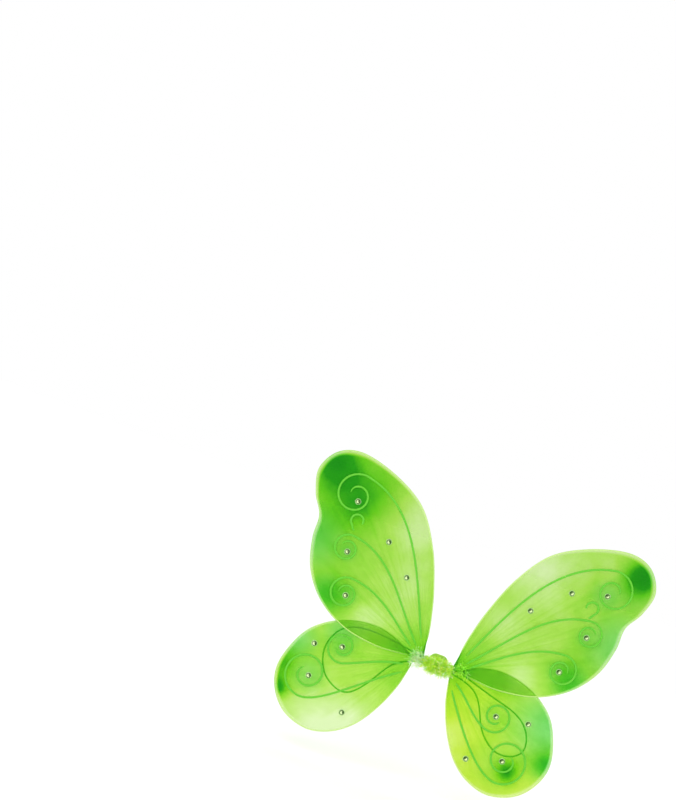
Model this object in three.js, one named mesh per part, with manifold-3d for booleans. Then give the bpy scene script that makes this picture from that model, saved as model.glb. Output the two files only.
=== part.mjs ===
// Fairy wings: two upper and two lower wings of dyed nylon stretched over bent wire, bound together
// at a padded centre, with glitter vines, glued gems, fluffy trim and two elastic shoulder loops.
// Millimetres. X runs across the wearer, Z is up, and the decorated side faces -Y. The origin is the
// middle of the back pad's outer face, which lies against the wearer's back.
// Each wing is drawn on the right, with X running outwards, and the left side is its mirror image.
import * as THREE from "three";
import { mergeVertices } from "three/addons/utils/BufferGeometryUtils.js";
import Module from "manifold-3d";

const wasm = await Module();
wasm.setup();

// Overall sizes
const UPPER_SPAN = 210;
const UPPER_RISE = 217.5;
const LOWER_SPAN = 160;
const LOWER_DROP = 132.5;

// Wire and nylon
const WIRE_DIAMETER = 1.6;
const NYLON_WALL = 0.5;
const FIT_GAP = 0.3;
const OUTLINE_STEPS = 48;
const WIRE_SIDES = 6;

// Hinge lines and the bound wire ends
const HINGE_X = 13;
const HINGE_CLEARANCE = 1.5;
const LEG_SPACING = 2.4;
const UPPER_LEGS_Z = 2.5;
const LOWER_LEGS_Z = -2.5;
const WRAP_LENGTH = 5;
const WRAP_WALL = 1.2;
const NECK_CLEARANCE = 0.4;
const LEG_BEND_STEPS = 5;

// Layers from back to front
const PAD_THICKNESS = 2.5;
const LOWER_PLANE_Y = -9;
const WING_CLEARANCE = 0.9;

// Decoration
const VINE_WIDTH = 1.6;
const VINE_SIDES = 6;
const GEM_RADIUS = 3;
const GEM_GIRDLE = 0.5;
const GEM_HEIGHT = 2;
const GEM_TABLE_RADIUS = 1.9;
const GEM_SIDES = 8;

// Centre
const PAD_WIDTH = 24;
const PAD_HEIGHT = 26;
const PAD_CORNER = 8;
const PAD_CORNER_STEPS = 5;
const BINDING_RADIUS = 5.6;
const BINDING_END_RADIUS = 4.2;
const BINDING_END_CLEARANCE = 2.5;
const BINDING_END_LENGTH = 2;
const BINDING_SIDES = 20;
const CENTRE_FLUFF = { halfWidth: 7, halfDepth: 5, halfHeight: 14 };
const ROOT_FLUFF = { halfWidth: 12, halfDepth: 3, halfHeight: 11, fromHinge: 16, z: 6 };

// Elastic shoulder loops
const ELASTIC_DIAMETER = 2.2;
const ELASTIC_SIDES = 8;
const ELASTIC_STEPS = 56;
const KNOT_INNER_X = 4;
const KNOT_OUTER_X = 10;
const KNOT_HALF_HEIGHT = 5;

// Sizes that follow from those above
const HALF_SLEEVE = WIRE_DIAMETER / 2 + FIT_GAP + NYLON_WALL;
const WIRE_INSET = HALF_SLEEVE;
const UPPER_PLANE_Y = LOWER_PLANE_Y - 2 * HALF_SLEEVE - FIT_GAP - VINE_WIDTH - WING_CLEARANCE;
const BINDING_Y = (UPPER_PLANE_Y + LOWER_PLANE_Y) / 2;
const BINDING_HALF_LENGTH = HINGE_X - BINDING_END_CLEARANCE;
const TAIL_X = HINGE_X + HINGE_CLEARANCE;

const MATERIALS = {
  wire: { color: 0xc9e8b4, roughness: 0.45, metalness: 0.3 },
  nylon: { color: 0x8fdc3c, roughness: 0.55, metalness: 0 },
  thread: { color: 0x9fd62e, roughness: 0.7, metalness: 0 },
  glitter: { color: 0x3fae2a, roughness: 0.3, metalness: 0.4 },
  gem: { color: 0xe6efe2, roughness: 0.05, metalness: 0.2 },
  felt: { color: 0xa6d848, roughness: 0.95, metalness: 0 },
  binding: { color: 0xaadf2c, roughness: 0.6, metalness: 0 },
  fluff: { color: 0xcdf08e, roughness: 0.9, metalness: 0 },
  elastic: { color: 0x2fb52c, roughness: 0.8, metalness: 0 },
};

// Wing edges, clockwise from the upper side of the neck, as shares of the wing's span and height.
const UPPER_EDGE = [
  [0.006, 0.037],
  [0.006, 0.126],
  [0.028, 0.241],
  [0.075, 0.402],
  [0.166, 0.618],
  [0.313, 0.821],
  [0.523, 0.94],
  [0.761, 1.0],
  [0.918, 0.959],
  [0.999, 0.83],
  [0.966, 0.687],
  [0.899, 0.572],
  [0.89, 0.434],
  [0.837, 0.264],
  [0.713, 0.113],
  [0.523, 0.007],
  [0.309, -0.03],
  [0.142, -0.023],
  [0.042, -0.009],
];
const LOWER_EDGE = [
  [0.049, 0.03],
  [0.155, 0.117],
  [0.343, 0.177],
  [0.561, 0.147],
  [0.768, 0.026],
  [0.911, -0.162],
  [0.999, -0.479],
  [0.961, -0.721],
  [0.824, -0.917],
  [0.611, -1.0],
  [0.411, -0.94],
  [0.249, -0.789],
  [0.124, -0.562],
  [0.036, -0.306],
  [-0.004, -0.087],
];

// A vine leaves the root at a heading, arrives along the tangent of its curl and winds in round its
// gem. Angles are in degrees, and a negative sweep winds clockwise. arrive shortens the last bend.
const UPPER_VINES = [
  {
    name: "vine_long",
    start: [0.047, 0.103],
    heading: 66,
    gem: 0,
    shift: [5, 7],
    from: 100,
    sweep: -450,
    radii: [28, 8],
    steps: 42,
  },
  {
    name: "vine_middle",
    start: [0.061, 0.057],
    heading: 47,
    gem: 3,
    shift: [2, 4],
    from: 95,
    sweep: -430,
    radii: [18, 8],
    steps: 34,
  },
  {
    name: "vine_short",
    start: [0.094, 0.044],
    heading: 38,
    gem: 4,
    shift: [2, 2],
    from: 92,
    sweep: -450,
    radii: [21, 8],
    steps: 34,
  },
  {
    name: "vine_hook",
    start: [0.662, 0.558],
    heading: 10,
    centre: [0.664, 0.618],
    from: -50,
    sweep: 250,
    radii: [8.5, 7.5],
    steps: 14,
  },
];
const LOWER_VINES = [
  {
    name: "vine_short",
    start: [0.061, -0.083],
    heading: -38,
    gem: 0,
    shift: [0, 0],
    from: -110,
    sweep: 430,
    radii: [21, 8],
    steps: 30,
  },
  {
    name: "vine_long",
    start: [0.049, -0.16],
    heading: -62,
    gem: 2,
    shift: [3, 2],
    from: -95,
    sweep: 500,
    radii: [31, 9],
    steps: 42,
    arrive: 0.22,
  },
];
const VINE_HANDLE_OUT = 0.38;
const VINE_HANDLE_IN = 0.35;
const STEM_SHARE = 0.4;

// reach: how much further out than the shortest neck a wing's own neck lies.
// trim: millimetres that this wing's span and height differ from its pair's.
// turn: degrees that its vines leave the root more outwards.
// gems: centres as shares of the wing's span and height, from its root.
const WINGS = [
  {
    name: "upper_left",
    side: "left",
    tier: "upper",
    reach: 2,
    trim: [-2, 3],
    turn: 0,
    gems: [
      [0.701, 0.723],
      [0.437, 0.565],
      [0.259, 0.406],
      [0.657, 0.429],
      [0.575, 0.188],
    ],
  },
  {
    name: "upper_right",
    side: "right",
    tier: "upper",
    reach: 0,
    trim: [0, 0],
    turn: 0,
    gems: [
      [0.728, 0.715],
      [0.518, 0.66],
      [0.318, 0.48],
      [0.694, 0.444],
      [0.609, 0.2],
    ],
  },
  {
    name: "lower_left",
    side: "left",
    tier: "lower",
    reach: 12,
    trim: [1, 0],
    turn: 30,
    gems: [
      [0.561, -0.132],
      [0.78, -0.192],
      [0.736, -0.502],
      [0.386, -0.728],
    ],
  },
  {
    name: "lower_right",
    side: "right",
    tier: "lower",
    reach: 0,
    trim: [0, 0],
    turn: 6,
    gems: [
      [0.455, -0.253],
      [0.718, -0.215],
      [0.624, -0.638],
      [0.343, -0.736],
    ],
  },
];
const TIERS = {
  upper: {
    span: UPPER_SPAN,
    height: UPPER_RISE,
    edge: UPPER_EDGE,
    vines: UPPER_VINES,
    legsZ: UPPER_LEGS_Z,
    planeY: UPPER_PLANE_Y,
  },
  lower: {
    span: LOWER_SPAN,
    height: LOWER_DROP,
    edge: LOWER_EDGE,
    vines: LOWER_VINES,
    legsZ: LOWER_LEGS_Z,
    planeY: LOWER_PLANE_Y,
  },
};

// Centrelines of the two elastic loops, from the upper side of the knot round to its lower side.
const LEFT_ELASTIC = [
  [-10.3, -4.4, 2.4],
  [-14, -4.4, 2.5],
  [-35, -4.4, 5],
  [-65, -4.4, 9.5],
  [-95, -4.4, 11.5],
  [-118, -4.4, 8],
  [-133, -4.4, -2],
  [-141, -4.4, -17],
  [-143, -4.4, -32],
  [-139, -4.4, -48],
  [-131, -4.4, -61],
  [-119, -4.4, -70],
  [-106, -4.4, -74.5],
  [-95, -4.4, -72.5],
  [-85, -4.4, -64.5],
  [-76, -4.4, -53],
  [-69, -4.4, -42],
  [-63, -4.4, -32],
  [-55, -4.4, -21],
  [-43, -4.4, -12],
  [-28, -4.4, -6],
  [-14, -4.4, -2.7],
  [-10.3, -4.4, -2.4],
];
const RIGHT_ELASTIC = [
  [10.3, -4.4, 2.4],
  [14, -4.4, 2.3],
  [27, -4.4, 1],
  [42, -4.4, -3],
  [60, -4.4, -8.5],
  [84, -4.4, -15.5],
  [102, -4.4, -20],
  [116, -4.4, -25],
  [128, -4.4, -32.5],
  [137, -4.4, -43],
  [142, -4.4, -56],
  [141, -4.4, -68],
  [133, -4.4, -76.5],
  [120, -4.4, -80.5],
  [107, -4.4, -79],
  [95, -4.4, -72],
  [84, -4.4, -61],
  [77, -4.4, -49],
  [71, -4.4, -36],
  [64, -4.4, -24],
  [54, -4.4, -14.5],
  [40, -4.4, -8.5],
  [26, -4.4, -5],
  [14, -4.4, -2.7],
  [10.3, -4.4, -2.4],
];

function solidOf(geometry) {
  const bare = geometry.clone();
  bare.deleteAttribute("normal");
  bare.deleteAttribute("uv");
  const merged = mergeVertices(bare, 1e-4);
  const vertProperties = merged.getAttribute("position").array;
  const triVerts = new Uint32Array(merged.index.array);
  return new wasm.Manifold(new wasm.Mesh({ numProp: 3, vertProperties, triVerts }));
}

function geometryOf(solid) {
  const mesh = solid.getMesh();
  const geometry = new THREE.BufferGeometry();
  geometry.setAttribute("position", new THREE.BufferAttribute(mesh.vertProperties, 3));
  geometry.setIndex(new THREE.BufferAttribute(mesh.triVerts, 1));
  geometry.computeVertexNormals();
  return geometry;
}

function named(name, geometry, material) {
  const mesh = new THREE.Mesh(geometry, new THREE.MeshStandardMaterial(MATERIALS[material]));
  mesh.name = name;
  return mesh;
}

// A path through given points, one ring of a tube to each, so that a tube and a wall drawn through
// the same outline stay parallel.
class RingPath extends THREE.Curve {
  constructor(points) {
    super();
    this.points = points;
  }

  getPoint(t, target = new THREE.Vector3()) {
    const place = t * (this.points.length - 1);
    const index = Math.min(Math.floor(place), this.points.length - 2);
    return target.lerpVectors(this.points[index], this.points[index + 1], place - index);
  }

  getPointAt(u, target) {
    return this.getPoint(u, target);
  }

  getTangentAt(u, target = new THREE.Vector3()) {
    const last = this.points.length - 1;
    const index = Math.round(u * last);
    const before = this.points[Math.max(index - 1, 0)];
    const after = this.points[Math.min(index + 1, last)];
    return target.subVectors(after, before).normalize();
  }
}

function roundSection(diameter, sides) {
  const section = new THREE.Shape();
  section.absarc(0, 0, diameter / 2, 0, 2 * Math.PI);
  return new THREE.Shape(section.getSpacedPoints(sides).slice(0, sides));
}

function tube(path, diameter, sides, steps) {
  const section = roundSection(diameter, sides);
  return new THREE.ExtrudeGeometry(section, { extrudePath: path, steps, bevelEnabled: false });
}

// A flat plate drawn in X and Z, with its thickness centred on a plane of constant Y.
function plate(outline, thickness, planeY) {
  const options = { depth: thickness, bevelEnabled: false, curveSegments: PAD_CORNER_STEPS };
  const geometry = new THREE.ExtrudeGeometry(outline, options);
  geometry.translate(0, 0, -thickness / 2);
  geometry.rotateX(Math.PI / 2);
  geometry.translate(0, planeY, 0);
  return geometry;
}

function rootOf(wing) {
  const x = HINGE_X + HINGE_CLEARANCE + FIT_GAP + wing.reach + WRAP_LENGTH + NECK_CLEARANCE;
  return new THREE.Vector2(x, TIERS[wing.tier].legsZ);
}

function placeOn(wing, share) {
  const tier = TIERS[wing.tier];
  const root = rootOf(wing);
  const span = tier.span + wing.trim[0];
  const height = tier.height + wing.trim[1];
  return new THREE.Vector2(root.x + share[0] * span, root.y + share[1] * height);
}

function outlineOf(wing) {
  const control = TIERS[wing.tier].edge.map((share) => placeOn(wing, share));
  return new THREE.SplineCurve(control).getSpacedPoints(OUTLINE_STEPS);
}

function tangentAt(points, index) {
  const before = points[Math.max(index - 1, 0)];
  const after = points[Math.min(index + 1, points.length - 1)];
  return after.clone().sub(before).normalize();
}

// The outline runs clockwise, so its inside lies to the right of each tangent.
function insetBy(points, distance) {
  return points.map((point, index) => {
    const tangent = tangentAt(points, index);
    return new THREE.Vector2(point.x + distance * tangent.y, point.y - distance * tangent.x);
  });
}

// Two nylon layers round the wire, closed at the rim and open at the neck.
function nylonSleeve(wing) {
  const tier = TIERS[wing.tier];
  const outline = outlineOf(wing);
  const hollow = insetBy(outline, NYLON_WALL);
  const last = hollow.length - 1;
  const past = 4 * HALF_SLEEVE;
  const start = hollow[0].clone().addScaledVector(tangentAt(hollow, 0), -past);
  const end = hollow[last].clone().addScaledVector(tangentAt(hollow, last), past);
  const cavity = [start, ...hollow, end];
  const outer = plate(new THREE.Shape(outline), 2 * HALF_SLEEVE, tier.planeY);
  const inner = plate(new THREE.Shape(cavity), 2 * (HALF_SLEEVE - NYLON_WALL), tier.planeY);
  return geometryOf(solidOf(outer).subtract(solidOf(inner)));
}

// The bend from a straight leg in the wrap to the wire's run round the wing.
function legBend(legEnd, joint, direction) {
  const reach = 0.4 * legEnd.distanceTo(joint);
  const legHandle = new THREE.Vector2(legEnd.x + reach, legEnd.y);
  const jointHandle = joint.clone().addScaledVector(direction, -reach);
  const bend = new THREE.CubicBezierCurve(legEnd, legHandle, jointHandle, joint);
  return bend.getPoints(LEG_BEND_STEPS).slice(0, -1);
}

// One wire, from its upper leg in the centre, round the wing and back to its lower leg.
function wireFrame(wing) {
  const tier = TIERS[wing.tier];
  const run = insetBy(outlineOf(wing), WIRE_INSET);
  const last = run.length - 1;
  const wrapEnd = rootOf(wing).x - NECK_CLEARANCE;
  const legs = [tier.legsZ + LEG_SPACING / 2, tier.legsZ - LEG_SPACING / 2];
  const [upperEnd, lowerEnd] = legs.map((z) => new THREE.Vector2(wrapEnd, z));
  const upperBend = legBend(upperEnd, run[0], tangentAt(run, 0));
  const lowerBend = legBend(lowerEnd, run[last], tangentAt(run, last).negate()).reverse();
  const start = new THREE.Vector2(TAIL_X, legs[0]);
  const end = new THREE.Vector2(TAIL_X, legs[1]);
  const path = [start, ...upperBend, ...run, ...lowerBend, end];
  const points = path.map((p) => new THREE.Vector3(p.x, tier.planeY, p.y));
  return tube(new RingPath(points), WIRE_DIAMETER, WIRE_SIDES, points.length - 1);
}

// A thread sleeve round both legs of a wing's wire.
function rootWrap(wing) {
  const tier = TIERS[wing.tier];
  const holeHalfDepth = WIRE_DIAMETER / 2 + FIT_GAP;
  const holeHalfHeight = LEG_SPACING / 2 + holeHalfDepth;
  const section = cornerCut(holeHalfDepth + WRAP_WALL, holeHalfHeight + WRAP_WALL, WRAP_WALL);
  section.holes.push(cornerCut(holeHalfDepth, holeHalfHeight, holeHalfDepth / 3));
  const geometry = new THREE.ExtrudeGeometry(section, { depth: WRAP_LENGTH, bevelEnabled: false });
  geometry.rotateY(Math.PI / 2);
  geometry.translate(rootOf(wing).x - NECK_CLEARANCE - WRAP_LENGTH, tier.planeY, tier.legsZ);
  return geometry;
}

function cornerCut(halfHeight, halfWidth, cut) {
  const shape = new THREE.Shape();
  shape.moveTo(halfWidth - cut, -halfHeight);
  shape.lineTo(halfWidth, cut - halfHeight);
  shape.lineTo(halfWidth, halfHeight - cut);
  shape.lineTo(halfWidth - cut, halfHeight);
  shape.lineTo(cut - halfWidth, halfHeight);
  shape.lineTo(-halfWidth, halfHeight - cut);
  shape.lineTo(-halfWidth, cut - halfHeight);
  shape.lineTo(cut - halfWidth, -halfHeight);
  return shape;
}

function heading(degrees) {
  const angle = THREE.MathUtils.degToRad(degrees);
  return new THREE.Vector2(Math.cos(angle), Math.sin(angle));
}

function curlCentre(wing, vine) {
  if (vine.centre) return placeOn(wing, vine.centre);
  return placeOn(wing, wing.gems[vine.gem]).add(new THREE.Vector2(...vine.shift));
}

// A raised line of glitter glue: a stem that bows out from the root, then a curl winding inwards.
function glitterVine(wing, vine) {
  const tier = TIERS[wing.tier];
  const centre = curlCentre(wing, vine);
  const [outer, inner] = vine.radii;
  const stemSteps = Math.round(vine.steps * STEM_SHARE);
  const curlSteps = vine.steps - stemSteps;
  const start = placeOn(wing, vine.start);
  const meet = centre.clone().addScaledVector(heading(vine.from), outer);
  const arrival = heading(vine.from + 90 * Math.sign(vine.sweep));
  const length = start.distanceTo(meet);
  const departure = heading(vine.heading + wing.turn);
  const outHandle = start.clone().addScaledVector(departure, VINE_HANDLE_OUT * length);
  const inShare = vine.arrive ?? VINE_HANDLE_IN;
  const inHandle = meet.clone().addScaledVector(arrival, -inShare * length);
  const stem = new THREE.CubicBezierCurve(start, outHandle, inHandle, meet);
  const points = stem.getSpacedPoints(stemSteps);
  for (let step = 1; step <= curlSteps; step++) {
    const share = step / curlSteps;
    const radius = THREE.MathUtils.lerp(outer, inner, share);
    const angle = vine.from + vine.sweep * share;
    points.push(centre.clone().addScaledVector(heading(angle), radius));
  }
  const y = tier.planeY - HALF_SLEEVE - FIT_GAP - VINE_WIDTH / 2;
  const path = new RingPath(points.map((p) => new THREE.Vector3(p.x, y, p.y)));
  return tube(path, VINE_WIDTH, VINE_SIDES, points.length - 1);
}

// A flat-backed faceted gem, its table facing forwards.
function gem(wing, share) {
  const profile = [
    new THREE.Vector2(0, 0),
    new THREE.Vector2(GEM_RADIUS, 0),
    new THREE.Vector2(GEM_RADIUS, GEM_GIRDLE),
    new THREE.Vector2(GEM_TABLE_RADIUS, GEM_HEIGHT),
    new THREE.Vector2(0, GEM_HEIGHT),
  ];
  const geometry = new THREE.LatheGeometry(profile, GEM_SIDES);
  geometry.rotateX(Math.PI);
  const centre = placeOn(wing, share);
  geometry.translate(centre.x, TIERS[wing.tier].planeY - HALF_SLEEVE - FIT_GAP, centre.y);
  return geometry;
}

function backPad() {
  const halfWidth = PAD_WIDTH / 2;
  const halfHeight = PAD_HEIGHT / 2;
  const outline = new THREE.Shape();
  outline.moveTo(halfWidth - PAD_CORNER, -halfHeight);
  outline.absarc(halfWidth - PAD_CORNER, PAD_CORNER - halfHeight, PAD_CORNER, -Math.PI / 2, 0);
  outline.absarc(halfWidth - PAD_CORNER, halfHeight - PAD_CORNER, PAD_CORNER, 0, Math.PI / 2);
  outline.absarc(PAD_CORNER - halfWidth, halfHeight - PAD_CORNER, PAD_CORNER, Math.PI / 2, Math.PI);
  outline.absarc(PAD_CORNER - halfWidth, PAD_CORNER - halfHeight, PAD_CORNER, Math.PI, 1.5 * Math.PI);
  return plate(outline, PAD_THICKNESS, -PAD_THICKNESS / 2);
}

// The taped bundle that every wire end runs towards.
function centreBinding() {
  const shoulder = BINDING_HALF_LENGTH - BINDING_END_LENGTH;
  const profile = [
    new THREE.Vector2(0, -BINDING_HALF_LENGTH),
    new THREE.Vector2(BINDING_END_RADIUS, -BINDING_HALF_LENGTH),
    new THREE.Vector2(BINDING_RADIUS, -shoulder),
    new THREE.Vector2(BINDING_RADIUS, shoulder),
    new THREE.Vector2(BINDING_END_RADIUS, BINDING_HALF_LENGTH),
    new THREE.Vector2(0, BINDING_HALF_LENGTH),
  ];
  const geometry = new THREE.LatheGeometry(profile, BINDING_SIDES);
  geometry.rotateZ(-Math.PI / 2);
  geometry.translate(0, BINDING_Y, 0);
  return geometry;
}

function fluff(size, x, backY, z) {
  const geometry = new THREE.SphereGeometry(1, 12, 8);
  geometry.scale(size.halfWidth, size.halfDepth, size.halfHeight);
  geometry.translate(x, backY - size.halfDepth, z);
  return geometry;
}

function elasticLoop(centreline) {
  const points = centreline.map((p) => new THREE.Vector3(...p));
  const path = new THREE.CatmullRomCurve3(points, false, "centripetal");
  return tube(path, ELASTIC_DIAMETER, ELASTIC_SIDES, ELASTIC_STEPS);
}

// Where both ends of a loop are tied, squeezed between the pad and the binding.
function elasticKnot() {
  const back = -PAD_THICKNESS - FIT_GAP;
  const front = BINDING_Y + BINDING_RADIUS + FIT_GAP;
  const halfWidth = (KNOT_OUTER_X - KNOT_INNER_X) / 2;
  const geometry = plate(cornerCut(KNOT_HALF_HEIGHT, halfWidth, 1), back - front, (back + front) / 2);
  geometry.translate((KNOT_INNER_X + KNOT_OUTER_X) / 2, 0, 0);
  return geometry;
}

function buildWing(wing) {
  const group = new THREE.Group();
  group.add(named(`${wing.name}_wire`, wireFrame(wing), "wire"));
  group.add(named(`${wing.name}_nylon`, nylonSleeve(wing), "nylon"));
  group.add(named(`${wing.name}_root_wrap`, rootWrap(wing), "thread"));
  for (const vine of TIERS[wing.tier].vines) {
    group.add(named(`${wing.name}_${vine.name}`, glitterVine(wing, vine), "glitter"));
  }
  wing.gems.forEach((share, index) => {
    group.add(named(`${wing.name}_gem_${index + 1}`, gem(wing, share), "gem"));
  });
  return group;
}

function buildSide(side) {
  const group = new THREE.Group();
  for (const wing of WINGS.filter((candidate) => candidate.side === side)) {
    group.add(buildWing(wing));
  }
  const vineFront = UPPER_PLANE_Y - HALF_SLEEVE - FIT_GAP - VINE_WIDTH;
  const tuftX = HINGE_X + ROOT_FLUFF.fromHinge;
  const tuft = fluff(ROOT_FLUFF, tuftX, vineFront - FIT_GAP, ROOT_FLUFF.z);
  group.add(named(`${side}_root_fluff`, tuft, "fluff"));
  group.add(named(`${side}_elastic_knot`, elasticKnot(), "elastic"));
  if (side === "left") group.scale.x = -1;
  return group;
}

const fairyWings = new THREE.Group();
fairyWings.add(named("back_pad", backPad(), "felt"));
fairyWings.add(named("centre_binding", centreBinding(), "binding"));
const trimBack = BINDING_Y - BINDING_RADIUS - FIT_GAP;
fairyWings.add(named("centre_fluff", fluff(CENTRE_FLUFF, 0, trimBack, 0), "fluff"));
fairyWings.add(buildSide("left"));
fairyWings.add(buildSide("right"));
fairyWings.add(named("left_shoulder_elastic", elasticLoop(LEFT_ELASTIC), "elastic"));
fairyWings.add(named("right_shoulder_elastic", elasticLoop(RIGHT_ELASTIC), "elastic"));

export default fairyWings;
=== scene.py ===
"""Looks for a pair of fairy wings: four sleeves of dyed nylon stretched over coated wire, bound
at a felt-backed centre with tape, thread and marabou trim, drawn over with glitter glue and set
with rhinestones, on two elastic shoulder loops. Metres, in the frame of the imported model: X runs
across the wearer, Z is up, and the decorated side faces -Y."""
import math
import random

import bpy
import numpy as np
from mathutils import Matrix, Vector


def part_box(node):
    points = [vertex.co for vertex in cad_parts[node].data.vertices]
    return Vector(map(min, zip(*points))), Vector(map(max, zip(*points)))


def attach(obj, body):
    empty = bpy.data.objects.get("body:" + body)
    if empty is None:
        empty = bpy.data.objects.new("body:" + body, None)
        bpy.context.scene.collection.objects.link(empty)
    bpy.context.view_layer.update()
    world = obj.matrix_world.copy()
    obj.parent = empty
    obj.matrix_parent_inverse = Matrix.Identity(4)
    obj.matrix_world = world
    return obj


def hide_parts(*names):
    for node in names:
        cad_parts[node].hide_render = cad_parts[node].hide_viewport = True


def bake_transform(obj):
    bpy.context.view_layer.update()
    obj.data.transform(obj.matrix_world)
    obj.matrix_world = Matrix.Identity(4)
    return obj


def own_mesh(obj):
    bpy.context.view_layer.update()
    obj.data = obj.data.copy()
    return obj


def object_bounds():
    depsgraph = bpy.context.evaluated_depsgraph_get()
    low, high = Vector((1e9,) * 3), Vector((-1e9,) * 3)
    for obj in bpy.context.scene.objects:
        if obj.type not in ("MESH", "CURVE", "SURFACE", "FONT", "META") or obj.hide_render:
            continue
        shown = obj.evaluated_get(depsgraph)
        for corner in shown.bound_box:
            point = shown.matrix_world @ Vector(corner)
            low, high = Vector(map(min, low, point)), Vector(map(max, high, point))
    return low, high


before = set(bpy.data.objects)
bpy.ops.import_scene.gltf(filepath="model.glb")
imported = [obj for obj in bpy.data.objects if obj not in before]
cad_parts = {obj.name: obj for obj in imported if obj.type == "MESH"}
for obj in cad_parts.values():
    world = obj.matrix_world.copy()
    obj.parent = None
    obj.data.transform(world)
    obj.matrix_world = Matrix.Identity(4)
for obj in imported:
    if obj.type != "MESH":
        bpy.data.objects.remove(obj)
cad_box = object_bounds()

MM = 0.001

# Overall sizes, hinges and layers, in millimetres, as the wings are drawn
UPPER_SPAN = 210
UPPER_RISE = 217.5
LOWER_SPAN = 160
LOWER_DROP = 132.5
WIRE_DIAMETER = 1.6
HINGE_X = 13
HINGE_CLEARANCE = 1.5
FIT_GAP = 0.3
WRAP_LENGTH = 5
NECK_CLEARANCE = 0.4
LEG_SPACING = 2.4
WIRE_INSET = 1.6
UPPER_PLANE_Y = -15
LOWER_PLANE_Y = -9
BINDING_Y = -12
OUTLINE_STEPS = 48

# Nylon sleeve
RIM_RADIUS = 1.3
SLEEVE_HALF = 1.45
SLEEVE_ROWS = 40
RIM_STEPS = 5
GATHER_DEPTH = 0.4
GATHER_FADE = 42
TUCK = 1.2  # how far the neck goes into the thread wrap
RIM_FADE = 0.7  # how soon the paler cloth over the wire takes up the dye

# Decoration
BEAD_WIDTH = 2.7
BEAD_SINK = 0.25
GEM_RADIUS = 3.3
GEM_HEIGHT = 2.2
# Rings of a stone as shares of its radius and height, with their turn in facets, and rings of
# the glue round it as a share of the stone's radius and a height in millimetres
STONE_RINGS = [(1.0, 0.0, 0), (1.0, 0.18, 0), (0.86, 0.62, 0.5), (0.56, 1.0, 0)]
STONE_SIDES = 12
FACET = 360 / STONE_SIDES
GLUE_RINGS = [(1.0, 0.0), (1.24, 0.0), (1.12, 0.3), (0.98, 0.5)]
GLUE_SIDES = 20

ELASTIC_DIAMETER = 2.2

# Back pad, as in its node
PAD_HALF_X = 12
PAD_HALF_Z = 13
PAD_CORNER = 8
# Its skin from the wearer's side to the front: inset from the edge, and height
PAD_PROFILE = [
    (3.6, 0.0), (1.4, 0.0), (0.5, 0.25), (0.05, 0.8), (0.0, 1.25), (0.1, 1.7), (0.5, 2.1),
    (1.3, 2.3), (1.9, 2.05), (2.3, 1.95), (2.7, 2.05), (3.6, 2.4), (5.5, 2.5),
]
STITCH_INSET = 2.3
STITCH_STEP = 2.2

# Metres between the wings and the floor, so that a lower wing turned down stays clear of it
FLOOR_GAP = 0.03

# Wing edges, clockwise from the upper side of the neck, as shares of the wing's span and height
UPPER_EDGE = [
    (0.006, 0.037), (0.006, 0.126), (0.028, 0.241), (0.075, 0.402), (0.166, 0.618),
    (0.313, 0.821), (0.523, 0.94), (0.761, 1.0), (0.918, 0.959), (0.999, 0.83),
    (0.966, 0.687), (0.899, 0.572), (0.89, 0.434), (0.837, 0.264), (0.713, 0.113),
    (0.523, 0.007), (0.309, -0.03), (0.142, -0.023), (0.042, -0.009),
]
LOWER_EDGE = [
    (0.049, 0.03), (0.155, 0.117), (0.343, 0.177), (0.561, 0.147), (0.768, 0.026),
    (0.911, -0.162), (0.999, -0.479), (0.961, -0.721), (0.824, -0.917), (0.611, -1.0),
    (0.411, -0.94), (0.249, -0.789), (0.124, -0.562), (0.036, -0.306), (-0.004, -0.087),
]

# Glitter vines: a stem from the root, then a curl wound in round a gem. Angles are in degrees,
# and shift is the curl's centre from its gem, in millimetres.
UPPER_VINES = [
    dict(name="vine_long", start=(0.047, 0.103), heading=66, gem=0, shift=(5, 7),
         turn_from=100, sweep=-450, radii=(28, 8)),
    dict(name="vine_middle", start=(0.061, 0.057), heading=47, gem=3, shift=(2, 4),
         turn_from=95, sweep=-430, radii=(18, 8)),
    dict(name="vine_short", start=(0.094, 0.044), heading=38, gem=4, shift=(2, 2),
         turn_from=92, sweep=-450, radii=(21, 8)),
    dict(name="vine_hook", start=(0.662, 0.558), heading=10, centre=(0.664, 0.618),
         turn_from=-50, sweep=250, radii=(8.5, 7.5)),
]
LOWER_VINES = [
    dict(name="vine_short", start=(0.061, -0.083), heading=-38, gem=0, shift=(0, 0),
         turn_from=-110, sweep=430, radii=(21, 8)),
    dict(name="vine_long", start=(0.049, -0.16), heading=-62, gem=2, shift=(3, 2),
         turn_from=-95, sweep=500, radii=(31, 9), arrive=0.22),
]
HANDLE_OUT = 0.38
HANDLE_IN = 0.35

# legs_z is the height of a tier's wire legs, and root_dye the depth of dye added near the root
UPPER = dict(span=UPPER_SPAN, height=UPPER_RISE, edge=UPPER_EDGE, vines=UPPER_VINES,
             legs_z=2.5, plane=UPPER_PLANE_Y, root_dye=0.24)
LOWER = dict(span=LOWER_SPAN, height=LOWER_DROP, edge=LOWER_EDGE, vines=LOWER_VINES,
             legs_z=-2.5, plane=LOWER_PLANE_Y, root_dye=0.16)

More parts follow.
